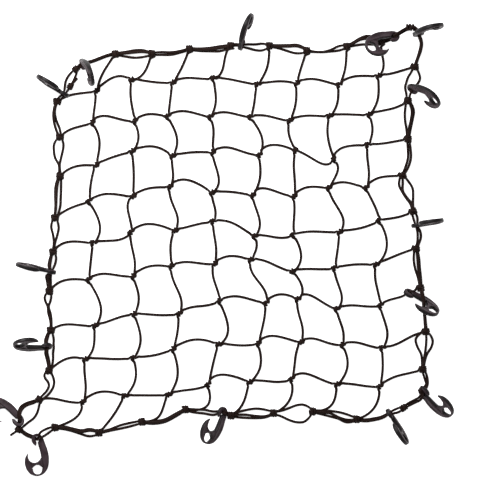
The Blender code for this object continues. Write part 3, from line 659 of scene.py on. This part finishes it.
hooks = [
    Hook("tl_outside", heading=145, pitch=33, roll=84, beak=1),
    Hook("tl_inside", heading=-56, pitch=60, roll=-69, beak=1),
    Hook("top", heading=74, pitch=30.5, roll=-77, beak=1),
    Hook("tr_inside", heading=-153.5, pitch=36, roll=16, beak=-1),
    Hook("tr_outside", heading=24.5, pitch=51.5, roll=-76, beak=1),
    Hook("right_1", heading=-27, pitch=34, roll=-56, beak=1),
    Hook("right_2", heading=13, pitch=50, roll=84, beak=-1),
    Hook("right_3", heading=-37, pitch=16, roll=57, beak=1),
    Hook("br", heading=-38, pitch=6, roll=50, beak=-1),
    Hook("bottom_right", heading=-61.2, pitch=20, roll=79, beak=1),
    Hook("bottom_middle", heading=-122, pitch=16, roll=40, beak=1),
    Hook("bl_inside", heading=-90, pitch=-3, roll=5, beak=1),
    Hook("bl_outside", heading=149.5, pitch=-5, roll=14, beak=-1),
    Hook("left_1", heading=174, pitch=28, roll=63, beak=1),
    Hook("left_2", heading=168.5, pitch=18, roll=84, beak=-1),
]
strandHook = {  # this one hangs on a cord of the mesh
    "name": "right_3",
    "strand": "across_7",
    "right": 299,
    "up": -77,
    "before": 12.0,  # from where the cord leaves the floor to the eye
    "after": 14.0,  # and from the eye to where it is down again
}


def bandSkin(rows):
    # Ring i spans its two edge points. Round the ring, the share across is c = cos a and the share
    # of the thickness is s = sin a, both drawn out towards a rounded box by a power, and the middle
    # of each face is sunk.
    edges = np.array([[*row.outer, *row.inner, row.thick] for row in rows], float)
    middles = np.column_stack([(edges[:, :2] + edges[:, 2:4]) / 2, np.zeros(len(edges))])
    curve, read = smoothThrough(middles, edges, hookShape["step"])
    spread, thick = (read[:, :2] - read[:, 2:4]) / 2, read[:, 4:]
    angle = np.linspace(0, 2 * np.pi, hookShape["sides"], endpoint=False)
    c, s = np.cos(angle), np.sin(angle)
    across = np.sign(c) * np.abs(c) ** (2 / hookShape["corner"])
    through = np.sign(s) * np.abs(s) ** (2 / hookShape["corner"])
    plain, full = hookShape["plainWidth"], hookShape["webWidth"]
    wide = np.clip((2 * np.linalg.norm(spread, axis=1) - plain) / (full - plain), 0, 1)
    web = np.clip((hookShape["rim"] - np.abs(across)) / hookShape["rimSlope"], 0, 1)
    web = web * web * (3 - 2 * web)
    height = through * (thick / 2 - hookShape["sunk"] * wide[:, None] * web)
    plan = curve[:, None, :2] + across[:, None] * spread[:, None]
    return skin(np.concatenate([plan, height[..., None]], -1), marksOf(curve), hookShape["sides"])


def hookTurn(hook):
    # Columns are the hook's own beak, shank and face directions, once its shank points at the
    # heading and is lifted by the pitch, and it is rolled about its shank
    pitch, roll = np.radians(hook.pitch), np.radians(hook.roll)
    forward = np.array([*heading(hook.heading), 0])
    aside = np.array([*-leftOf(forward), 0]) * hook.beak
    shank = forward * np.cos(pitch) + skyward * np.sin(pitch)
    above = skyward * np.cos(pitch) - forward * np.sin(pitch)
    beak = aside * np.cos(roll) + above * np.sin(roll)
    return np.column_stack([beak, shank, np.cross(beak, shank)])


hookSkins = [bandSkin(hookShape["back"]), bandSkin(hookShape["bridge"])]
hookTurns = {hook.name: hookTurn(hook) for hook in hooks}
hookPlans = {row.name: (row.right, row.up) for rows in rails.values() for row in rows}
hookPlans[strandHook["name"]] = (strandHook["right"], strandHook["up"])
hookEyes = {}  # each as high as lets the hook's lowest point touch the floor
for name, turn in hookTurns.items():
    lowest = min((points @ turn.T)[:, 2].min() for points, *_ in hookSkins)
    hookEyes[name] = np.array([*hookPlans[name], -lowest])
print("hook shape ready,", sum(len(quads) for _, quads, *_ in hookSkins), "quads each")


# Rails

eyeFit = {
    "lying": 0.7,  # a hook lies where its eye's axis stands steeper than this
    "headThick": 6.6,
    "gap": 0.2,  # between a cord and the head that it goes round
    "headClear": 10.6,  # from a lying hook's eye to where a rail comes in under its head
    "drop": 3.0,  # and how much further the rail starts down again
    "entry": 1.5,  # from the eye to where the rail turns up into it
    "swell": 1.3,  # how much higher than that it then runs over the head's rim
    "reach": 14.0,  # from a standing hook's eye to where a rail starts to climb to it
    "back": 18.0,  # and to where it is down again
    "steepest": 0.8,  # the share of its axis's slope that a rail has inside it
}
shankRide = {  # the right rails ride over one hook's shank, then pass under its beak
    "right": 322,
    "up": -86,
    "ahead": (-26, -9, 7, 17, 30),
    "height": (2.0, 18.5, 18.5, 14.5, 2.0),
}


def eyeSteps(name, along):
    # Distances along a rail from a hook's eye, and the heights there
    axis = hookTurns[name][:, 2]
    axis = axis if axis[2] > 0 else -axis
    eye, floor, thin = hookEyes[name][2], cordSize["radius"], cordSize["inEye"]
    lean, half = axis[:2] @ along, eyeFit["headThick"] / 2
    if axis[2] > eyeFit["lying"]:
        fall = abs(lean) / axis[2]
        aside = abs(leftOf(along) @ axis[:2]) / axis[2] * railFit["spacing"]["knot"]
        under = (half + thin + eyeFit["gap"]) / axis[2] + aside / 2
        over = (half + floor + eyeFit["gap"]) / axis[2] + aside + eyeFit["swell"]
        edge, entry = eyeFit["headClear"], eyeFit["entry"]
        away = edge + eyeFit["drop"]
        ahead = (-edge, -entry, entry, away, away + eye)
        under, over = eye - under + entry * fall, max(eye + over - edge * fall, floor)
        height = (floor, max(under, floor), 2 * eye - under, over, floor)
    else:
        slope = min(axis[2] / np.linalg.norm(axis[:2]), 1) * eyeFit["steepest"]
        inside = half + 2 * thin
        ahead = (-eyeFit["reach"], -inside, 0, inside, eyeFit["back"])
        height = (floor, max(eye - inside * slope, thin), eye, eye + inside * slope, floor)
    ahead, height = np.array(ahead), np.array(height)
    return (ahead, height) if lean >= 0 else (-ahead[::-1], height[::-1])


def outwardOf(before, after):  # the net's outside is on the left of its rails
    return leftOf(unit(after - before))


def stationOffset(kind, cord):  # of each cord from its station's middle
    half = railFit["spacing"][kind] / 2
    third, inner = (-half, -railFit["aside"]) if kind == "looseHook" else (0, -half)
    return {"outer": half, "third": third, "inner": inner}[cord]


def placesOf(side):
    return np.array([[row.right, row.up] for row in rails[side]], float)


def railPlan(side, cord):
    # The curve passes each station and each share of the way at its offset, smooth but at knots,
    # where the slope is a mirror image of the one at the stretch's other end
    rows, places = rails[side], placesOf(side)
    points, corners, stations = [], set(), []
    for i, row in enumerate(rows):
        away = outwardOf(places[max(i - 1, 0)], places[min(i + 1, len(places) - 1)])
        if row.kind == "knot":
            corners.add(len(points))
        stations.append(len(points))
        points.append(places[i] + away * (stationOffset(row.kind, cord) + row.sag))
        if i + 1 < len(rows):
            nextAway = outwardOf(places[i], places[i + 1])
            offsets = getattr(row, cord) or np.add(row.outer, row.inner) / 2
            shares = np.arange(1, len(offsets) + 1) / (len(offsets) + 1)
            for share, offset in zip(shares, offsets):
                points.append(places[i] + (places[i + 1] - places[i]) * share + nextAway * offset)
    points = np.array(points)
    corners |= {0, len(points) - 1}
    around = np.concatenate([points[:1], points, points[-1:]])
    slopes = unit(around[2:] - around[:-2])
    chain, parts = [], railFit["parts"]
    for i in range(len(points) - 1):
        start, end = points[i], points[i + 1]
        chord = unit(end - start)
        leave, arrive = slopes[i], slopes[i + 1]
        if i in corners:
            leave = chord if i + 1 in corners else chord * 2 * (arrive @ chord) - arrive
        if i + 1 in corners:
            arrive = chord if i in corners else chord * 2 * (leave @ chord) - leave
        reach = np.linalg.norm(end - start) / 3
        chain.append(bezier(start, start + leave * reach, end - arrive * reach, end, parts + 1)[:-1])
    return np.concatenate([*chain, points[-1:]]), np.array(stations) * parts


def railHeights(side, cord, plan):
    # The cord lies on the floor, and climbs to the knots and the hooks' eyes
    rows, places, marks = rails[side], placesOf(side), marksOf(plan)
    floor = cordSize["radius"]
    height, radius = np.full(len(plan), floor), np.full(len(plan), floor)
    for i, row in enumerate(rows):
        ahead = marks - marks[np.linalg.norm(plan - places[i], axis=1).argmin()]
        if row.kind in ("knot", "corner"):
            bump = bell(ahead, railFit["climb"])
            height = np.maximum(height, floor + (railFit["core"] - floor) * bump)
            radius = np.minimum(radius, floor - (floor - cordSize["inKnot"]) * bump)
        elif row.kind == "hook" or (row.kind == "looseHook" and cord != "inner"):
            lift = np.interp(ahead, *eyeSteps(row.name, unit(places[i + 1] - places[i - 1])))
            height = np.where(np.abs(lift - floor) > np.abs(height - floor), lift, height)
            pinch = bell(ahead, railFit["pinch"], 4)
            radius = np.minimum(radius, floor - (floor - cordSize["inEye"]) * pinch)
    if side == "right":
        away = np.linalg.norm(plan - (shankRide["right"], shankRide["up"]), axis=1)
        ride = np.interp(marks - marks[away.argmin()], shankRide["ahead"], shankRide["height"])
        height = np.maximum(height, ride)
    return height, radius


def stacked(height, plan, radius, lower):
    # Where two cords come closer than their thickness, the upper one rides on the other: it stands
    # higher by the square root of thickness^2 - distance^2
    for lowHeight, lowPlan in lower:
        apart = np.linalg.norm(plan - lowPlan, axis=1)
        height = np.maximum(height, lowHeight + np.sqrt(np.maximum((2 * radius) ** 2 - apart**2, 0)))
    return height


def evened(plan, height, radius):
    # Read every millimetre, averaged over the nearest points and thinned to every second one
    marks = marksOf(plan)
    fine = np.append(np.arange(0, marks[-1] - 0.5, 1.0), marks[-1])
    path, radius = readAt(marks, np.column_stack([plan, height]), fine), np.interp(fine, marks, radius)
    window = np.hanning(9)
    spare = len(window) // 2
    padded = np.concatenate([path[:1].repeat(spare, 0), path, path[-1:].repeat(spare, 0)])
    path = np.stack([np.convolve(column, window / window.sum(), "valid") for column in padded.T], -1)
    keep = np.append(np.arange(0, len(path) - 1, 2), len(path) - 1)
    return path[keep], radius[keep], np.tile(skyward, (len(keep), 1))


def railRuns(side):
    plans = {cord: railPlan(side, cord)[0] for cord in ("inner", "outer", "third")}
    stations = railPlan(side, "outer")[1]
    heights, radii, lower = {}, {}, []
    for cord, plan in plans.items():
        height, radii[cord] = railHeights(side, cord, plan)
        heights[cord] = stacked(height, plan, radii[cord], lower)
        lower.append((heights[cord], plan))
    runs = {cord: [evened(plans[cord], heights[cord], radii[cord])] for cord in ("outer", "inner")}
    # the third cord, from where it joins the other two to where it leaves them
    joined = [bool(row.third) for row in rails[side]]
    starts = [i for i, here in enumerate(joined) if here and not (i and joined[i - 1])]
    for start in starts:
        end = start + joined[start:].index(False)
        part = slice(stations[start], stations[end] + 1)
        runs["outer"].append(evened(plans["third"][part], heights["third"][part], radii["third"][part]))
    return runs


# Ties


class Tie(NamedTuple):  # a knot in the rails themselves
    name: str
    right: float
    up: float
    heading: float
    stretch: float  # along its axis
    girth: float  # and across it
    rise: float = 0
    tail: float = None  # heading of the cut end that stands out of it, where there is one


tieShape = {
    "tilt": 10,
    "tailReach": (6, 9, 15.6),
    "tailHeight": (4, 2.8, 2),
    "tailRadius": 0.95,  # of the cord's
}
ties = [
    Tie("corner_tl", -240, 285.6, heading=40, stretch=1, girth=0.85),
    Tie("inner_tl", -249, 258, heading=60, stretch=1, girth=0.72, tail=48),
    Tie("corner_tr", 302.5, 353, heading=-6, stretch=1.5, girth=0.85),
    Tie("corner_br", 321, -235.5, heading=-136, stretch=1, girth=1, rise=4),
    Tie("bottom_right", 291, -263, heading=28, stretch=1.1, girth=0.85),
    Tie("corner_bl", -332.5, -298.5, heading=-140, stretch=1, girth=0.95, tail=-145),
]


def tieRun(tie):  # wound like the knots on the border, with both ends tucked in or one cut
    middle = np.array([tie.right, tie.up, railFit["roundCore"]])
    tucked = ("start", "end") if tie.tail is None else ("start",)
    points, outward = knotTurns(
        middle, heading(tie.heading), knotShape["border"], tieShape["tilt"], tucked, tie.stretch, tie.girth
    )
    parts = [turnsPart(points + skyward * tie.rise, outward)]
    if tie.tail is not None:
        plan = middle[:2] + heading(tie.tail) * np.array(tieShape["tailReach"])[:, None]
        tail = np.column_stack([plan, tieShape["tailHeight"]])
        radius = cordSize["radius"] * tieShape["tailRadius"]
        parts.append(partOf(tail, radius, skyward, cordSize["spanStep"]))
    return runFrom(parts)


# Looks


class Wire:  # wraps a socket, so that an expression on values adds its own nodes
    def __init__(self, look, socket):
        self.look, self.socket = look, socket

    def maths(self, operation, first, second=0.0):
        return self.look.node("ShaderNodeMath", {"operation": operation}, {0: first, 1: second})

    def __add__(self, other):
        return self.maths("ADD", self, other)

    __radd__ = __add__

    def __sub__(self, other):
        return self.maths("SUBTRACT", self, other)

    def __rsub__(self, other):
        return self.maths("SUBTRACT", other, self)

    def __mul__(self, other):
        return self.maths("MULTIPLY", self, other)

    __rmul__ = __mul__

    def __truediv__(self, other):
        return self.maths("DIVIDE", self, other)

    def __pow__(self, other):
        return self.maths("POWER", self, other)

    def __mod__(self, other):
        return self.maths("FLOORED_MODULO", self, other)

    def __abs__(self):
        return self.maths("ABSOLUTE", self)

    def sine(self):
        return self.maths("SINE", self)

    def floor(self):
        return self.maths("FLOOR", self)


class Look:  # a material and the nodes added to it
    def __init__(self, name):
        self.material = bpy.data.materials.new(name)
        self.material.use_nodes = True
        self.tree = self.material.node_tree
        self.shader = self.tree.nodes["Principled BSDF"]

    def plug(self, socket, value):
        if isinstance(value, Wire):
            self.tree.links.new(value.socket, socket)
        else:
            socket.default_value = value

    def node(self, kind, settings=None, inputs=None, output=0):
        made = self.tree.nodes.new(kind)
        for key, value in (settings or {}).items():
            setattr(made, key, value)
        for key, value in (inputs or {}).items():
            self.plug(made.inputs[key], value)
        return Wire(self, made.outputs[output])

    def set(self, **values):
        for key, value in values.items():
            self.plug(self.shader.inputs[key.replace("_", " ")], value)

    def mixed(self, share, first, second):
        return self.node("ShaderNodeMix", {"data_type": "RGBA"}, {"Factor": share, 6: first, 7: second}, 2)

    def noise(self, place, scale, detail):
        return self.node("ShaderNodeTexNoise", None, {"Vector": place, "Scale": scale, "Detail": detail})

    def bumped(self, height, strength, depth):
        return self.node(
            "ShaderNodeBump", None, {"Strength": strength, "Distance": depth * mm, "Height": height}
        )

    def surfacePlace(self):  # the place on the surface, its length along and its share of a turn
        place = self.node("ShaderNodeUVMap", {"uv_map": "lengthAndTurn"})
        along = self.node("ShaderNodeSeparateXYZ", None, {0: place})
        return place, along, Wire(self, along.socket.node.outputs[1])


cordFinish = {
    "yarn": (0.0145, 0.0058, 0.0042, 1),
    "between": (0.0034, 0.0015, 0.0011, 1),
    # painted shade, darker in the grooves between the yarns
    "worn": (0.027, 0.0135, 0.01, 1),
    "yarnsEachWay": 8,
    "pick": 1.6,  # millimetres along the cord
    "crown": 0.55,  # a yarn's height where it dives under the next, as a share of its full height
    "relief": 0.16,
}


def cordLook():
    # A braid: two families of yarns wind opposite ways, so their phases are the turn round the cord
    # plus and minus the distance along it. Whichever family is on top alternates cell by cell.
    look = Look("braided cord")
    place, along, around = look.surfacePlace()
    left = around * cordFinish["yarnsEachWay"] + along / cordFinish["pick"]
    right = around * cordFinish["yarnsEachWay"] - along / cordFinish["pick"]
    onTop = (left.floor() + right.floor()) % 2.0
    leftBump, rightBump = abs((left * np.pi).sine()), abs((right * np.pi).sine())
    low, more = cordFinish["crown"], 1 - cordFinish["crown"]
    yarn = onTop * leftBump * (low + more * rightBump) + (1 - onTop) * rightBump * (low + more * leftBump)
    # Painted shade: the lower a yarn lies, the nearer its colour comes to the darker groove shade
    base = look.mixed(yarn**0.6, cordFinish["between"], cordFinish["yarn"])
    base = look.mixed(look.noise(place, 0.35, 3.0) * yarn * 0.5, base, cordFinish["worn"])
    bump = look.bumped(yarn, 0.8, cordFinish["relief"])
    look.set(Base_Color=base, Roughness=0.8, Specular_IOR_Level=0.12, Normal=bump)
    return look.material


hookFinish = {
    "plastic": (0.018, 0.0085, 0.0115, 1),
    # painted shade, darker towards the band's two edges
    "edge": (0.0025, 0.0018, 0.0022, 1),
    # painted sheen: a lighter tone in streaks along the band's faces
    "paintedSheen": (0.08, 0.055, 0.068, 1),
    "paintedSheenRange": (0.42, 0.72),  # where the noise starts to show as painted sheen, and where it is full
    "streaks": (0.05, 7.0, 1),  # along the band and round it
    "cloud": 60.0,
    "grain": 900.0,
    "relief": 0.1,
}


def hookLook():
    # The plastic is painted darker towards the band's two edges as shade, whose share is |cos(turn)|^3,
    # and is given a painted sheen, lighter in streaks along it
    look = Look("moulded plastic")
    place, _, around = look.surfacePlace()
    edge = abs((around * 2 * np.pi + np.pi / 2).sine()) ** 3
    stretched = look.node(
        "ShaderNodeVectorMath", {"operation": "MULTIPLY"}, {0: place, 1: hookFinish["streaks"]}
    )
    solid = look.node("ShaderNodeTexCoord", output="Object")
    streaks, cloud = look.noise(stretched, 1.0, 4.0), look.noise(solid, hookFinish["cloud"], 3.0)
    start, full = hookFinish["paintedSheenRange"]
    sheenMapping = {"Value": streaks * 0.7 + cloud * 0.3, "From Min": start, "From Max": full}
    paintedSheen = look.node("ShaderNodeMapRange", None, sheenMapping)
    # painted sheen in streaks on the faces, kept off the edges
    base = look.mixed(paintedSheen * (1 - edge) * 0.8, hookFinish["plastic"], hookFinish["paintedSheen"])
    # painted shade towards the band's edges
    base = look.mixed(edge, base, hookFinish["edge"])
    bump = look.bumped(look.noise(solid, hookFinish["grain"], 2.0), 0.25, hookFinish["relief"])
    look.set(Base_Color=base, Roughness=0.42 + cloud * 0.16, Specular_IOR_Level=0.22, Normal=bump)
    return look.material


cordMaterial, hookMaterial = cordLook(), hookLook()
print("materials ready")


# Building

cornerPlan = (300, 354)  # where that tie stands in the script's own lengths
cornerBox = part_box("tie_corner_tr")
shift = np.append(np.mean([corner[:2] for corner in cornerBox], axis=0) / mm - cornerPlan, 0)


def cordPiece(name, runs, node):
    skins = [cordSkin(path + shift, radius, up) for path, radius, up in runs]
    addPiece(name, skins, cordMaterial, node)


for way, cords in meshCords.items():
    for number in range(len(cords["bows"])):
        cordPiece(f"{cords['piece']}{number + 1}", [meshRun(way, number)], f"{way}_{number + 1}")
print("mesh cords tied")

for side in rails:
    for rail, runs in railRuns(side).items():
        cordPiece(f"{side}Rail{rail.title()}", runs, f"rail_{side}_{rail}")
for tie in ties:
    cordPiece(f"knot_{tie.name}", [tieRun(tie)], f"tie_{tie.name}")
print("rails and ties laid")

for number, hook in enumerate(hooks, 1):
    turn, place = hookTurns[hook.name].T, hookEyes[hook.name] + shift
    skins = [(points @ turn + place, *rest) for points, *rest in hookSkins]
    addPiece(f"netHook{number:02d}", skins, hookMaterial, f"hook_{number:02d}_{hook.name}")
print("hooks hung")


# Floor, light and camera

stage = {
    "floor": (0.95, 0.95, 0.95, 1),
    "floorSize": 8,  # this and the lengths below are in metres
    "floorDrop": 0.0004,
    "glow": 0.85,  # the floor is lit from below, so that the ground is plain white
    "sky": 0.55,
    "key": 34.0,
    "keySize": 0.5,
    "keyPlace": (-0.7, 1.0, 1.3),
    "view": 0.81,  # width of the picture
    "aim": (0.042, 0.0084, 1.5),
}

bpy.context.scene.view_settings.view_transform = "Standard"
bpy.ops.mesh.primitive_plane_add(size=stage["floorSize"], location=(0, 0, -stage["floorDrop"]))
floor = bpy.context.object
floor.name = "floor"
floorLook = Look("pale floor")
floorLook.set(
    Base_Color=stage["floor"], Roughness=0.9, Emission_Color=stage["floor"], Emission_Strength=stage["glow"]
)
floor.data.materials.append(floorLook.material)

world = bpy.data.worlds.new("studio")
bpy.context.scene.world = world
world.use_nodes = True
sky = world.node_tree.nodes["Background"]
sky.inputs["Color"].default_value = (1, 1, 1, 1)
sky.inputs["Strength"].default_value = stage["sky"]

key = bpy.data.objects.new("key", bpy.data.lights.new("key", "AREA"))
key.data.energy, key.data.size = stage["key"], stage["keySize"]
key.location = stage["keyPlace"]
key.rotation_euler = (-Vector(stage["keyPlace"])).to_track_quat("-Z", "Y").to_euler()
bpy.context.scene.collection.objects.link(key)

camera = bpy.data.objects.new("camera", bpy.data.cameras.new("camera"))
camera.data.type = "ORTHO"
camera.data.ortho_scale = stage["view"]
camera.location = np.array(stage["aim"]) + shift * mm
bpy.context.scene.collection.objects.link(camera)
bpy.context.scene.camera = camera
print("stage ready")
